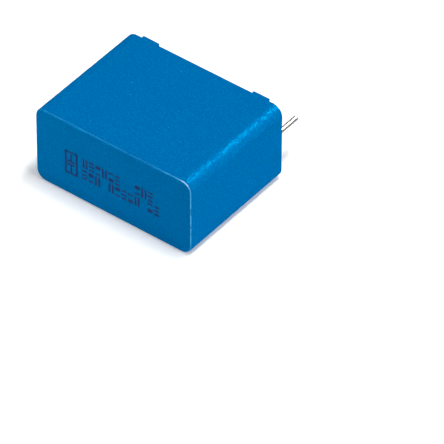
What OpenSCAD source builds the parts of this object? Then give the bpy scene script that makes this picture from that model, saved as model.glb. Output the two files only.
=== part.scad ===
// Box film capacitor: a flat-wound film element, cast in resin inside a moulded case.
// It lies on one broad wall, with its two leads pointing along +Y and its length along X.
// The origin is the middle of the broad wall that it lies on.
// Each piece is drawn standing on the closed end of the case, leads up, and then laid down.

/* [Case] */
// Length of the case over its end walls
case_length = 31.5; // [30.5:0.5:36]
// Width of the case over its broad walls
case_width = 15; // [12:0.5:20]
// Height from the closed end to the tips of the feet
case_height = 24.5; // [20:0.5:30]
// Thickness of the side walls
wall = 0.7; // [0.5:0.05:0.9]
// Thickness of the closed end
closed_end = 1; // [0.6:0.1:1.6]
// Outside radius of the four upright edges
corner_r = 1.9; // [1.3:0.1:2.6]
// Outside radius of the edge round the closed end
edge_r = 0.5; // [0.3:0.05:1]
// Inside radius of the edge round the closed end
inner_edge_r = 0.3; // [0.2:0.05:0.35]

/* [Feet] */
// How far the feet stand out past the rim
foot_height = 0.5; // [0.3:0.1:1]
// Length of each foot along the rim
foot_length = 3.2; // [2:0.1:4.5]
// Distance from the end of the case to the foot
foot_inset = 2.9; // [2.7:0.1:4]

/* [Guide ribs] */
// How far the ribs stand in from the broad walls
rib_height = 0.35; // [0.2:0.05:0.6]
// Width of each rib
rib_width = 1; // [0.6:0.1:1.6]
// Distance between the middles of the two ribs on one wall
rib_spacing = 16; // [10:1:20]

/* [Resin] */
// Depth of the resin surface below the rim
fill_recess = 0.5; // [0.3:0.1:1.2]
// Height to which the resin creeps up the walls and the leads
meniscus = 0.2; // [0.1:0.05:0.25]
// Thickness at which the creeping edge ends
meniscus_edge = 0.05; // [0.03:0.01:0.08]

/* [Film element] */
// Resin left over the element, up to the resin surface
top_cover = 2; // [1.7:0.1:3.5]
// Resin left under the element, down to the closed end
bottom_cover = 0.6; // [0.3:0.1:1.5]
// Slip clearance between the element and each rib
slip = 0.1; // [0.05:0.05:0.3]
// Thickness of the sprayed metal on each end of the element
spray_thickness = 0.6; // [0.4:0.05:1]
// Plain outer turns that the sprayed metal leaves bare
spray_inset = 0.3; // [0.1:0.1:0.8]

/* [Leads] */
// Distance from the outside of an end wall to the middle of its lead
lead_margin = 2; // [1.85:0.05:3]
// Diameter of the lead wire
lead_d = 0.8; // [0.6:0.05:1]
// Free length past the feet
lead_length = 6; // [3:0.5:12]
// Chamfer on the cut ends
tip_chamfer = 0.1; // [0.05:0.05:0.2]
// Length of wire welded on the sprayed metal
weld_length = 9; // [5:0.5:14]
// Depth that the wire is pressed into the sprayed metal
weld_bite = 0.15; // [0.05:0.05:0.3]
// Radius of the two bends of the crank, at the middle of the wire
bend_r = 1; // [0.8:0.05:1.4]
// Straight run between the upper bend and the resin surface
lead_entry = 0.05; // [0.05:0.05:0.1]

/* [Hidden] */
$fn = 96;
left = -1;
right = 1;
// Signs of x and y in the four quarters, one quarter turn after another
QUARTERS = [[1, 1], [-1, 1], [-1, -1], [1, -1]];

// Case and cavity
rim_z = case_height - foot_height;
cavity_length = case_length - 2 * wall;
cavity_width = case_width - 2 * wall;
cavity_r = corner_r - wall;
fill_z = rim_z - fill_recess;
// How far the feet, the ribs and the resin collars run on inside what carries them
root = wall / 2;

// Film element, wound flat, with its axis along X
element_width = cavity_width - 2 * (rib_height + slip);
element_bottom = closed_end + bottom_cover;
element_top = fill_z - top_cover;
rib_top = element_top - element_width / 2;

// Leads: the welded run, a crank of two opposite bends that leans 3 in 4 at its middle, and the free run
lead_r = lead_d / 2;
lead_x = case_length / 2 - lead_margin;
bend_angle = atan2(3, 4);
bend_rise = bend_r * sin(bend_angle);
crank = 2 * bend_r * (1 - cos(bend_angle));
weld_x = lead_x - crank;
free_z = fill_z - lead_entry;
free_run = case_height + lead_length - free_z;
weld_run = weld_length + free_z - 2 * bend_rise - element_top;

// The sprayed metal ends where the wire has bitten into it, and the film fills what is left
spray_outer_x = weld_x - lead_r + weld_bite;
film_width = 2 * (spray_outer_x - spray_thickness);

// Lays a standing piece on its broad wall, with its height along +Y
module lay_down() {
    translate([0, -case_height / 2, case_width / 2]) rotate([-90, 0, 0]) children();
}

// Part of a round disc: its upper half, and its upper right quarter
module half_disc(r) {
    intersection() {
        circle(r = r);
        translate([-2 * r, 0]) square([4 * r, 2 * r]);
    }
}

module quarter_disc(r) {
    intersection() {
        circle(r = r);
        square(2 * r);
    }
}

// Side view of a block that stands on its rounded lower edges
module soft_footed_outline(span, height, edge) {
    translate([-span / 2, edge]) square([span, height - edge]);
    translate([edge - span / 2, 0]) square([span - 2 * edge, edge]);
    translate([span / 2 - edge, edge]) rotate(-90) quarter_disc(edge);
    translate([edge - span / 2, edge]) rotate(180) quarter_disc(edge);
}

// Half of the same side view, out to one corner, to be turned about the corner's own axis
module soft_footed_quarter(corner, height, edge) {
    translate([0, edge]) square([corner, height - edge]);
    square([corner - edge, edge]);
    translate([corner - edge, edge]) rotate(-90) quarter_disc(edge);
}

// Block with round upright edges and a smaller round edge at its foot:
// two crossing slabs, a turned quarter in each corner, and a core that runs into all of them
module soft_footed_block(length, width, height, corner, edge) {
    rotate([90, 0, 0]) linear_extrude(width - 2 * corner, center = true)
        soft_footed_outline(length, height, edge);
    rotate([90, 0, 90]) linear_extrude(length - 2 * corner, center = true)
        soft_footed_outline(width, height, edge);
    for (turn = [0:3])
        translate([QUARTERS[turn].x * (length / 2 - corner), QUARTERS[turn].y * (width / 2 - corner), 0])
            rotate(90 * turn) rotate_extrude(angle = 90) soft_footed_quarter(corner, height, edge);
    translate([0, 0, height / 2]) cube([length - corner, width - corner, height - edge], center = true);
}

// Hollow of the case, from its closed end up to the given height
module cavity(top_z) {
    translate([0, 0, closed_end])
        soft_footed_block(cavity_length, cavity_width, top_z - closed_end, cavity_r, inner_edge_r);
}

// Feet on the rim, flush with the outside of the broad walls, which hold the case off the board
module feet() {
    for (x = [left, right], y = [left, right])
        translate([
            x * (case_length / 2 - foot_inset - foot_length / 2),
            y * (case_width - wall) / 2,
            rim_z + (foot_height - root) / 2
        ])
            cube([foot_length, wall, foot_height + root], center = true);
}

// Ribs up the inside of the broad walls, which keep the element in the middle of the resin
module guide_ribs() {
    depth = rib_height + root;
    foot_z = closed_end - root;
    for (x = [left, right], y = [left, right])
        translate([x * rib_spacing / 2, y * (cavity_width / 2 - rib_height + depth / 2), (rib_top + foot_z) / 2])
            cube([rib_width, depth, rib_top - foot_z], center = true);
}

// Length of the flat-wound element along its axis, with a margin left off all round
module element_length(length, margin) {
    round_r = element_width / 2;
    flat_height = element_top - element_bottom - element_width;
    translate([0, 0, element_bottom + round_r]) rotate([90, 0, 90])
        linear_extrude(length, center = true) {
            translate([margin - round_r, 0]) square([2 * (round_r - margin), flat_height]);
            translate([0, flat_height]) half_disc(round_r - margin);
            rotate(180) half_disc(round_r - margin);
        }
}

// One layer of sprayed metal on an end of the element
module sprayed_layer(side) {
    translate([side * (spray_outer_x - spray_thickness / 2), 0, 0])
        element_length(spray_thickness, spray_inset);
}

// A bend of the wire, from the origin upwards and over towards +X
module wire_bend() {
    translate([bend_r, 0, 0]) rotate([90, 0, 180])
        rotate_extrude(angle = bend_angle) translate([bend_r, 0]) circle(r = lead_r);
}

// Straight wire from the origin up to its cut end
module wire_run(run) {
    rotate_extrude() polygon([
        [0, 0],
        [lead_r, 0],
        [lead_r, run - tip_chamfer],
        [lead_r - tip_chamfer, run],
        [0, run]
    ]);
}

// Half of a lead, from the middle of its crank: a bend back to upright, then a straight run
module lead_half(run) {
    translate([crank / 2, 0, bend_rise]) {
        rotate([0, 180, 0]) wire_bend();
        wire_run(run);
    }
}

// The right-hand lead: the free half, the welded half, and a core that runs into both
module lead_wire() {
    translate([lead_x - crank / 2, 0, free_z - bend_rise]) {
        lead_half(free_run);
        rotate([0, 180, 0]) lead_half(weld_run);
        rotate([0, bend_angle, 0]) cylinder(h = lead_r, r = lead_r / 2, center = true);
    }
}

module lead(side) {
    if (side == left)
        mirror([1, 0, 0]) lead_wire();
    else
        lead_wire();
}

// Resin drawn up round a lead by its wetting
module resin_collar() {
    collar_r = lead_r + meniscus_edge + meniscus;
    rotate_extrude() difference() {
        translate([0, -root]) square([collar_r, root + meniscus]);
        translate([collar_r, meniscus]) circle(r = meniscus);
    }
}

// The resin as poured: it fills the case and its surface curls up at the walls and the leads
module poured_resin() {
    difference() {
        cavity(fill_z + meniscus);
        translate([0, 0, fill_z])
            soft_footed_block(cavity_length - 2 * meniscus_edge, cavity_width - 2 * meniscus_edge,
                              2 * meniscus, cavity_r - meniscus_edge, meniscus);
    }
    for (side = [left, right])
        translate([side * lead_x, 0, fill_z]) resin_collar();
}

// Moulded box, open on the side that faces the board
module case() {
    color("#0a6cb0") lay_down() {
        difference() {
            soft_footed_block(case_length, case_width, rim_z, corner_r, edge_r);
            cavity(case_height);
        }
        feet();
        guide_ribs();
    }
}

// Casting resin round everything inside the case
module resin_fill() {
    color("#2c5f8c") lay_down() difference() {
        poured_resin();
        guide_ribs();
        element_length(film_width, 0);
        for (side = [left, right]) {
            sprayed_layer(side);
            lead(side);
        }
    }
}

// Metallized plastic film, wound flat
module film_winding() {
    color("#c9ccd1") lay_down() element_length(film_width, 0);
}

// Sprayed metal that joins all the turns at one end, grooved by the wire welded on it
module end_spray(side) {
    color("#8f9499") lay_down() difference() {
        sprayed_layer(side);
        lead(side);
    }
}

module end_spray_left() {
    end_spray(left);
}

module end_spray_right() {
    end_spray(right);
}

// Tinned wire
module lead_left() {
    color("#d6d9dc") lay_down() lead(left);
}

module lead_right() {
    color("#d6d9dc") lay_down() lead(right);
}

case();
resin_fill();
film_winding();
end_spray_left();
end_spray_right();
lead_left();
lead_right();
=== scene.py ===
import math

import bmesh
import bpy
from mathutils import Matrix, Vector


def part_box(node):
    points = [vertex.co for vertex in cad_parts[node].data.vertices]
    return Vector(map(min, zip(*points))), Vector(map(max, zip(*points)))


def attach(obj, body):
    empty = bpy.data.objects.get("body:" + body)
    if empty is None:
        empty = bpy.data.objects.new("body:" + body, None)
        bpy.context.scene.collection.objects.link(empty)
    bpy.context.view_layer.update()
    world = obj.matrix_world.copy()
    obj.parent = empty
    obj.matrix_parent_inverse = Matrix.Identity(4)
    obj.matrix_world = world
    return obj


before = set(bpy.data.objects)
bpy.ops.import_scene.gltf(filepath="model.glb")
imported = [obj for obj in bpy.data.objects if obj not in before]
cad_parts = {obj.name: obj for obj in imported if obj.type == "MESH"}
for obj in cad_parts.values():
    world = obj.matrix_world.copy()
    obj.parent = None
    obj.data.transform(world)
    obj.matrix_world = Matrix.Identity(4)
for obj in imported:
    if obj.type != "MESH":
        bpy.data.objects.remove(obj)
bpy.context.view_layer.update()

# ---- Film element ----
# A flat roll of metallized polypropylene film, sealed inside the case.
# Its turns were wound on a round arbor and then pressed flat, so the outside is smooth
# and silvery, with faint waves along the roll.


def linear(hex_colour):
    """An sRGB hex colour as the linear RGBA that shader sockets take."""
    channels = [int(hex_colour[i:i + 2], 16) / 255 for i in (1, 3, 5)]
    return [c / 12.92 if c <= 0.04045 else ((c + 0.055) / 1.055) ** 2.4 for c in channels] + [1]


def add(tree, kind, sockets=None, **settings):
    """Adds one node with its settings; a socket takes a value or another node's output."""
    made = tree.nodes.new(kind)
    for name, value in settings.items():
        setattr(made, name, value)
    for name, value in (sockets or {}).items():
        if isinstance(value, bpy.types.NodeSocket):
            tree.links.new(value, made.inputs[name])
        else:
            made.inputs[name].default_value = value
    return made


# Metallized polypropylene film: a thin aluminium mirror seen through clear plastic.
film = bpy.data.materials.new("metallized_polypropylene_film")
film.use_nodes = True
tree = film.node_tree
surface = tree.nodes["Principled BSDF"]
surface.inputs["Base Color"].default_value = linear("#b9bcc2")
surface.inputs["Metallic"].default_value = 1
place = add(tree, "ShaderNodeTexCoord").outputs["Object"]
# The waves are about 1.5 mm apart across the roll, and drawn out along it.
along = add(tree, "ShaderNodeMapping",
            {"Vector": place, "Scale": (60, 1000, 1000)}).outputs["Vector"]
waves = add(tree, "ShaderNodeTexNoise",
            {"Vector": along, "Scale": 1 / 1.5, "Detail": 3}).outputs[0]
gloss = add(tree, "ShaderNodeMapRange",
            {"Value": waves, "To Min": 0.18, "To Max": 0.34}).outputs[0]
ripple = add(tree, "ShaderNodeBump",
             {"Height": waves, "Strength": 0.4, "Distance": 0.00005}).outputs[0]
tree.links.new(gloss, surface.inputs["Roughness"])
tree.links.new(ripple, surface.inputs["Normal"])
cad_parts["film_winding"].data.materials[0] = film

# ---- Sprayed ends ----
# Zinc flame-sprayed on each cut end of the roll, which joins all the turns of one side.
# The molten drops freeze as they land, so the layer is grey, dull and grainy.
zinc = bpy.data.materials.new("flame_sprayed_zinc")
zinc.use_nodes = True
tree = zinc.node_tree
surface = tree.nodes["Principled BSDF"]
surface.inputs["Metallic"].default_value = 0.9
surface.inputs["Roughness"].default_value = 0.62
place = add(tree, "ShaderNodeTexCoord").outputs["Object"]
in_mm = add(tree, "ShaderNodeMapping",
            {"Vector": place, "Scale": (1000, 1000, 1000)}).outputs["Vector"]
# The frozen drops are 0.1 to 0.2 mm across.
drops = add(tree, "ShaderNodeTexVoronoi", {"Vector": in_mm, "Scale": 1 / 0.16}).outputs["Distance"]
dust = add(tree, "ShaderNodeTexNoise", {"Vector": in_mm, "Scale": 1 / 0.6, "Detail": 4}).outputs[0]
grey = add(tree, "ShaderNodeMix", {"Factor": dust, 6: linear("#7c8084"), 7: linear("#a3a7aa")},
           data_type="RGBA").outputs[2]
grain = add(tree, "ShaderNodeBump",
            {"Height": drops, "Strength": 0.8, "Distance": 0.00006}).outputs[0]
tree.links.new(grey, surface.inputs["Base Color"])
tree.links.new(grain, surface.inputs["Normal"])
for side in ("end_spray_left", "end_spray_right"):
    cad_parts[side].data.materials[0] = zinc

# ---- Leads ----
# Round wire, 0.8 mm thick, with a steel core in a copper skin, drawn through a die and
# dipped in tin.
# Each one is welded on its sprayed end, cranked outwards and led out through the resin.

# Hot-dipped tin: bright white metal that darkens towards its edges, with faint die lines
# along the wire.
tin = bpy.data.materials.new("tinned_copper_clad_steel")
tin.use_nodes = True
tree = tin.node_tree
surface = tree.nodes["Principled BSDF"]
surface.inputs["Base Color"].default_value = linear("#808283")
surface.inputs["Metallic"].default_value = 1
surface.inputs["Specular Tint"].default_value = linear("#202020")
place = add(tree, "ShaderNodeTexCoord").outputs["Object"]
# Die lines run along the wire. Real ones are finer; they are drawn 0.15 mm apart to show.
die = add(tree, "ShaderNodeMapping",
          {"Vector": place, "Scale": (1000, 60, 1000)}).outputs["Vector"]
lines = add(tree, "ShaderNodeTexNoise", {"Vector": die, "Scale": 1 / 0.15, "Detail": 2}).outputs[0]
gloss = add(tree, "ShaderNodeMapRange",
            {"Value": lines, "To Min": 0.22, "To Max": 0.36}).outputs[0]
scratch = add(tree, "ShaderNodeBump",
              {"Height": lines, "Strength": 0.25, "Distance": 0.00001}).outputs[0]
tree.links.new(gloss, surface.inputs["Roughness"])
tree.links.new(scratch, surface.inputs["Normal"])
for side in ("lead_left", "lead_right"):
    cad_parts[side].data.materials[0] = tin

# ---- Casting resin ----
# Epoxy poured into the open side of the case, which sets hard and seals everything in.
# It is pigmented blue, darker than the case, and its open surface is glossy and not quite
# flat, because the resin shrinks as it cures.
epoxy = bpy.data.materials.new("pigmented_casting_epoxy")
epoxy.use_nodes = True
tree = epoxy.node_tree
surface = tree.nodes["Principled BSDF"]
surface.inputs["IOR"].default_value = 1.55
surface.inputs["Specular IOR Level"].default_value = 0.15
place = add(tree, "ShaderNodeTexCoord").outputs["Object"]
in_mm = add(tree, "ShaderNodeMapping",
            {"Vector": place, "Scale": (1000, 1000, 1000)}).outputs["Vector"]
# Shrinkage leaves dips 4 to 6 mm wide, with the pigment a little clouded in them, and
# there are flecks of filler 0.25 mm across.
dips = add(tree, "ShaderNodeTexNoise", {"Vector": in_mm, "Scale": 1 / 5, "Detail": 1}).outputs[0]
specks = add(tree, "ShaderNodeTexNoise",
             {"Vector": in_mm, "Scale": 1 / 0.25, "Detail": 4}).outputs[0]
cloud = add(tree, "ShaderNodeMapRange",
            {"Value": dips, "From Min": 0.3, "From Max": 0.7}).outputs[0]
blue = add(tree, "ShaderNodeMix", {"Factor": cloud, 6: linear("#06458c"), 7: linear("#0c559e")},
           data_type="RGBA").outputs[2]
flecks = add(tree, "ShaderNodeMapRange",
             {"Value": specks, "From Min": 0.55, "From Max": 0.75}).outputs[0]
blue = add(tree, "ShaderNodeMix", {"Factor": flecks, 6: blue, 7: linear("#1c6cb2")},
           data_type="RGBA").outputs[2]
gloss = add(tree, "ShaderNodeMapRange",
            {"Value": specks, "To Min": 0.15, "To Max": 0.35}).outputs[0]
dip = add(tree, "ShaderNodeBump",
          {"Height": dips, "Strength": 0.8, "Distance": 0.0006}).outputs[0]
pit = add(tree, "ShaderNodeBump",
          {"Height": specks, "Normal": dip, "Strength": 0.15, "Distance": 0.00002}).outputs[0]
tree.links.new(blue, surface.inputs["Base Color"])
tree.links.new(gloss, surface.inputs["Roughness"])
tree.links.new(pit, surface.inputs["Normal"])
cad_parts["resin_fill"].data.materials[0] = epoxy

# ---- Case ----
# One injection moulding in blue PBT, with rounded upright edges, a sharper edge round its
# closed end and four feet on its rim.
# The steel mould was spark-eroded, so its faces are satin with a very fine grain.

# Spark-eroded PBT: a saturated blue pigment under a soft, broad sheen of the same blue, with
# no clear reflections.
plastic = bpy.data.materials.new("spark_eroded_blue_pbt")
plastic.use_nodes = True
tree = plastic.node_tree
surface = tree.nodes["Principled BSDF"]
surface.inputs["Specular IOR Level"].default_value = 0
# This tint keeps the sheen blue at a glancing angle too.
surface.inputs["Specular Tint"].default_value = linear("#002c44")
place = add(tree, "ShaderNodeTexCoord").outputs["Object"]
in_mm = add(tree, "ShaderNodeMapping",
            {"Vector": place, "Scale": (1000, 1000, 1000)}).outputs["Vector"]
# The pigment drifts a little over 6 to 8 mm, where the melt flowed.
flow = add(tree, "ShaderNodeTexNoise", {"Vector": in_mm, "Scale": 1 / 7, "Detail": 2}).outputs[0]
blue = add(tree, "ShaderNodeMix", {"Factor": flow, 6: linear("#0066ae"), 7: linear("#006cb4")},
           data_type="RGBA").outputs[2]
# Eroded craters are 0.05 mm wide; they are drawn at 0.35 mm to show. Their lips are paler
# and catch the light.
craters = add(tree, "ShaderNodeTexNoise",
              {"Vector": in_mm, "Scale": 1 / 0.35, "Detail": 3, "Roughness": 0.6}).outputs[0]
lips = add(tree, "ShaderNodeMapRange",
           {"Value": craters, "From Min": 0.46, "From Max": 0.62}).outputs[0]
blue = add(tree, "ShaderNodeMix", {"Factor": lips, 6: blue, 7: linear("#0078b6")},
           data_type="RGBA").outputs[2]
glint = add(tree, "ShaderNodeMapRange",
            {"Value": lips, "To Min": 0.01, "To Max": 0.09}).outputs[0]
gloss = add(tree, "ShaderNodeMapRange",
            {"Value": craters, "From Min": 0.35, "From Max": 0.65, "To Min": 0.5, "To Max": 0.35})
grain = add(tree, "ShaderNodeBump",
            {"Height": craters, "Strength": 0.8, "Distance": 0.00008}).outputs[0]
# The sharper edge round the closed end carries a painted highlight, in a band from 0.14 to 0.33 mm
# behind its face, so it is paler there in broken lines, and most of all at the right.
across, depth, _ = add(tree, "ShaderNodeSeparateXYZ", {"Vector": in_mm}).outputs
near = add(tree, "ShaderNodeMapRange",
           {"Value": depth, "From Min": -12.11, "From Max": -12.06}).outputs[0]
far = add(tree, "ShaderNodeMapRange",
          {"Value": depth, "From Min": -11.92, "From Max": -11.97}).outputs[0]
highlight_breaks = add(tree, "ShaderNodeTexNoise",
          {"Vector": in_mm, "Scale": 1 / 0.9, "Detail": 5, "Roughness": 0.7}).outputs[0]
highlight_breaks = add(tree, "ShaderNodeMapRange",
          {"Value": highlight_breaks, "From Min": 0.33, "From Max": 0.55, "To Max": 0.8}).outputs[0]
most = add(tree, "ShaderNodeMapRange",
           {"Value": across, "From Min": 9, "From Max": 14.5, "To Min": 0.2}).outputs[0]
painted_edge_highlight = add(tree, "ShaderNodeMath", {0: near, 1: far}, operation="MULTIPLY").outputs[0]
painted_edge_highlight = add(tree, "ShaderNodeMath", {0: painted_edge_highlight, 1: highlight_breaks}, operation="MULTIPLY").outputs[0]
painted_edge_highlight = add(tree, "ShaderNodeMath", {0: painted_edge_highlight, 1: most}, operation="MULTIPLY").outputs[0]
# A painted highlight makes the upper right corner the palest.
corner = add(tree, "ShaderNodeVectorMath", {0: in_mm, 1: (14.6, -12.1, 14.8)},
             operation="DISTANCE").outputs["Value"]
painted_corner_highlight = add(tree, "ShaderNodeMapRange",
            {"Value": corner, "From Min": 1.1, "From Max": 0.6}).outputs[0]
highlight_blue = add(tree, "ShaderNodeMix", {"Factor": painted_corner_highlight, 6: linear("#62c4f4"), 7: linear("#c4ecff")},
           data_type="RGBA").outputs[2]
# The painted highlight on the edge and the corner is mixed into the blue here.
blue = add(tree, "ShaderNodeMix", {"Factor": painted_edge_highlight, 6: blue, 7: highlight_blue}, data_type="RGBA").outputs[2]
# Pale specks 0.2 mm across lie a few millimetres apart.
speck = add(tree, "ShaderNodeTexVoronoi", {"Vector": in_mm, "Scale": 1 / 2.6}).outputs["Distance"]
speck = add(tree, "ShaderNodeMapRange",
            {"Value": speck, "From Min": 0.045, "From Max": 0.02, "To Max": 0.7}).outputs[0]
blue = add(tree, "ShaderNodeMix", {"Factor": speck, 6: blue, 7: linear("#5cc8f6")},
           data_type="RGBA").outputs[2]
tree.links.new(blue, surface.inputs["Base Color"])
tree.links.new(glint, surface.inputs["Metallic"])
tree.links.new(gloss.outputs[0], surface.inputs["Roughness"])
tree.links.new(grain, surface.inputs["Normal"])
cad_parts["case"].data.materials[0] = plastic

# ---- Marking ----
# Dark blue ink, pad-printed on the closed end: a framed capacitor symbol and two rows of
# plain blocks. It carries no lettering.
# The ink stands 0.02 mm proud, with the soft corners of a transferred print.
mm = 0.001
ink_proud = 0.02 * mm
low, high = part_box("case")
print_face = low.y
left_end = low.x / mm
marking = bmesh.new()


def ink_bar(x, z, width, height):
    """A flat bar of ink, with its middle x from the left end of the case and z above its
    underside, in mm. Half of its thickness is sunk in the case, and its corners are rounded."""
    middle = Vector(((left_end + x) * mm, print_face, z * mm))
    shape = Matrix.Diagonal((width * mm, 2 * ink_proud, height * mm, 1))
    bar = bmesh.ops.create_cube(marking, size=1, matrix=Matrix.Translation(middle) @ shape)["verts"]
    corners = {edge for vert in bar for edge in vert.link_edges
               if abs(edge.verts[0].co.y - edge.verts[1].co.y) > ink_proud}
    bmesh.ops.bevel(marking, geom=list(corners), offset=0.1 * mm, segments=3, profile=0.5,
                    affect="EDGES", material=-1)


# The symbol: a frame round two plates and their two wires.
for x in (6.25, 8.5):
    ink_bar(x, 6.85, 0.34, 4.7)
for z in (4.64, 9.06):
    ink_bar(7.375, z, 2.53, 0.34)
for z in (6.55, 7.15):
    ink_bar(7.375, z, 1.5, 0.34)
for z in (5.65, 8.05):
    ink_bar(7.375, z, 0.33, 1.5)

# Two rows of blocks, in groups: the first block's middle, the row's height, and the blocks.
# Block a is two upright bars and b three flat ones; c has its thick bar above, and d below.
block_pitch = 1.32
rows = [
    (10.2, 8.15, "abcadb"),
    (20.85, 8.3, "cab"),
    (10.1, 5.8, "bca"),
    (15.5, 5.85, "acbda"),
    (23.4, 5.95, "db"),
]
for start, z, blocks in rows:
    for step, block in enumerate(blocks):
        x = start + block_pitch * step
        if block == "a":
            for dx in (-0.32, 0.32):
                ink_bar(x + dx, z, 0.35, 1.95)
        elif block == "b":
            for dz in (-0.8, 0, 0.8):
                ink_bar(x, z + dz, 1, 0.35)
        elif block == "c":
            ink_bar(x, z + 0.58, 1, 0.75)
            ink_bar(x, z - 0.78, 1, 0.35)
        elif block == "d":
            ink_bar(x, z + 0.78, 1, 0.35)
            ink_bar(x, z - 0.58, 1, 0.75)
mesh = bpy.data.meshes.new("printed_marking")
marking.to_mesh(mesh)
marking.free()
printed_marking = bpy.data.objects.new("printed_marking", mesh)
bpy.context.scene.collection.objects.link(printed_marking)

# Pad-printing ink: matt dark blue, a little thin in places, so the plastic shows through.
ink = bpy.data.materials.new("pad_printed_dark_blue_ink")
ink.use_nodes = True
tree = ink.node_tree
surface = tree.nodes["Principled BSDF"]
surface.inputs["Roughness"].default_value = 0.55
surface.inputs["Specular IOR Level"].default_value = 0.1
place = add(tree, "ShaderNodeTexCoord").outputs["Object"]
in_mm = add(tree, "ShaderNodeMapping",
            {"Vector": place, "Scale": (1000, 1000, 1000)}).outputs["Vector"]
# The ink film thins out in patches 0.4 mm wide.
thin = add(tree, "ShaderNodeTexNoise", {"Vector": in_mm, "Scale": 1 / 0.4, "Detail": 3}).outputs[0]
navy = add(tree, "ShaderNodeMix", {"Factor": thin, 6: linear("#001f58"), 7: linear("#003876")},
           data_type="RGBA").outputs[2]
tree.links.new(navy, surface.inputs["Base Color"])
mesh.materials.append(ink)
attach(printed_marking, "root")

# ---- Table ----
# A plain white sweep, on which the capacitor lies. It stays white to the camera and in
# reflections, and keeps a soft shadow. It lies 0.02 mm low, so that the case isn't flush with it.
sweep = bmesh.new()
bmesh.ops.create_grid(sweep, x_segments=1, y_segments=1, size=3)
table_mesh = bpy.data.meshes.new("table")
sweep.to_mesh(table_mesh)
sweep.free()
table = bpy.data.objects.new("table", table_mesh)
bpy.context.scene.collection.objects.link(table)
table.location.z = -0.02 * mm
paper = bpy.data.materials.new("white_paper_sweep")
paper.use_nodes = True
tree = paper.node_tree
surface = tree.nodes["Principled BSDF"]
surface.inputs["Base Color"].default_value = linear("#fafafa")
surface.inputs["Roughness"].default_value = 1
surface.inputs["Specular IOR Level"].default_value = 0
# It glows only where the camera, a reflection or glass looks at it, and so lights nothing.
ray = add(tree, "ShaderNodeLightPath").outputs
seen = add(tree, "ShaderNodeMath", {0: ray["Is Camera Ray"], 1: ray["Is Glossy Ray"]},
           operation="ADD").outputs[0]
seen = add(tree, "ShaderNodeMath", {0: seen, 1: ray["Is Transmission Ray"]},
           operation="ADD").outputs[0]
# The glow is 0.28 round the capacitor and grows to 0.85, 250 mm away, where the lamps fall off.
place = add(tree, "ShaderNodeTexCoord").outputs["Object"]
away = add(tree, "ShaderNodeVectorMath", {0: place}, operation="LENGTH").outputs["Value"]
glow = add(tree, "ShaderNodeMapRange",
           {"Value": away, "From Min": 0.04, "From Max": 0.25, "To Min": 0.28, "To Max": 0.85})
white = add(tree, "ShaderNodeMath", {0: seen, 1: glow.outputs[0]}, operation="MULTIPLY").outputs[0]
surface.inputs["Emission Color"].default_value = linear("#ffffff")
tree.links.new(white, surface.inputs["Emission Strength"])
table_mesh.materials.append(paper)

# ---- Light ----
# A white tent all round, a narrow soft box above, and a lit card low down at the right and
# at the front. Two more soft boxes only draw a sheen, one of them along the rounded upper edge.
tent = bpy.data.worlds.new("tent")
bpy.context.scene.world = tent
tent.use_nodes = True
tree = tent.node_tree
cloth = tree.nodes["Background"]
cloth.inputs["Color"].default_value = linear("#ffffff")
ray = add(tree, "ShaderNodeLightPath").outputs
seen = add(tree, "ShaderNodeMath", {0: ray["Is Camera Ray"], 1: ray["Is Glossy Ray"]},
           operation="ADD").outputs[0]
seen = add(tree, "ShaderNodeMath", {0: seen, 1: ray["Is Transmission Ray"]},
           operation="ADD").outputs[0]
# The cloth is seen white, and lights the capacitor at less than a quarter of that.
bright = add(tree, "ShaderNodeMapRange", {"Value": seen, "To Min": 0.22}).outputs[0]
tree.links.new(bright, cloth.inputs["Strength"])

# All the lamps point at the middle of the thickness of the case.
half_way_up = Vector((0, 0, high.z / 2))


def soft_lamp(name, direction, distance, width, depth, watts, diffuse=True, glossy=True,
              colour=(1, 1, 1)):
    """A rectangular lamp that points at the capacitor from a direction. Its sizes are in metres."""
    lamp = bpy.data.lights.new(name, "AREA")
    lamp.shape = "RECTANGLE"
    lamp.size = width
    lamp.size_y = depth
    lamp.energy = watts
    lamp.color = colour
    made = bpy.data.objects.new(name, lamp)
    bpy.context.scene.collection.objects.link(made)
    towards = Vector(direction).normalized()
    made.location = half_way_up + towards * distance
    made.rotation_mode = "QUATERNION"
    made.rotation_quaternion = towards.to_track_quat("Z", "Y")
    made.visible_camera = False
    made.visible_diffuse = diffuse
    made.visible_glossy = glossy


soft_lamp("overhead_soft_box", (0.17, 0.08, 1), distance=0.5, width=0.2, depth=0.06, watts=1.75)
soft_lamp("right_card", (0.93, 0.1, 0.12), distance=0.2, width=0.1, depth=0.1, watts=0.155,
          glossy=False, colour=(1, 1, 0.9))
soft_lamp("front_card", (-0.6, -0.75, 0.12), distance=0.16, width=0.08, depth=0.08, watts=0.095,
          glossy=False, colour=(1, 1, 0.8))
soft_lamp("sheen_soft_box", (0.3, 0.6, 0.74), distance=0.5, width=0.22, depth=0.22, watts=9.5,
          diffuse=False, colour=(1, 0.98, 0.7))
soft_lamp("front_sheen_box", (-0.02, -0.76, 0.65), distance=0.5, width=0.55, depth=0.1, watts=4,
          diffuse=False)

# ---- Camera ----
# A long lens, about a metre away, above the near right corner of the closed end.
# It looks down at 42 degrees, so the broad face, the closed end and one end wall show.
viewpoint = bpy.data.cameras.new("viewpoint")
viewpoint.sensor_width = 36
viewpoint.lens = 486.55
viewpoint.clip_start = 0.1
viewpoint.clip_end = 20
camera = bpy.data.objects.new("viewpoint", viewpoint)
bpy.context.scene.collection.objects.link(camera)
azimuth, elevation, roll = math.radians(37.45), math.radians(41.63), math.radians(0.27)
aim = Vector((14.646 * mm, -2.537 * mm, 0))
distance = 961.276 * mm
level = math.cos(elevation)
back = Vector((math.sin(azimuth) * level, -math.cos(azimuth) * level, math.sin(elevation)))
camera.location = aim + back * distance
camera.rotation_mode = "QUATERNION"
roll_turn = Matrix.Rotation(roll, 4, "Z").to_quaternion()
camera.rotation_quaternion = back.to_track_quat("Z", "Y") @ roll_turn
bpy.context.scene.camera = camera

bpy.context.scene.view_settings.view_transform = "Standard"
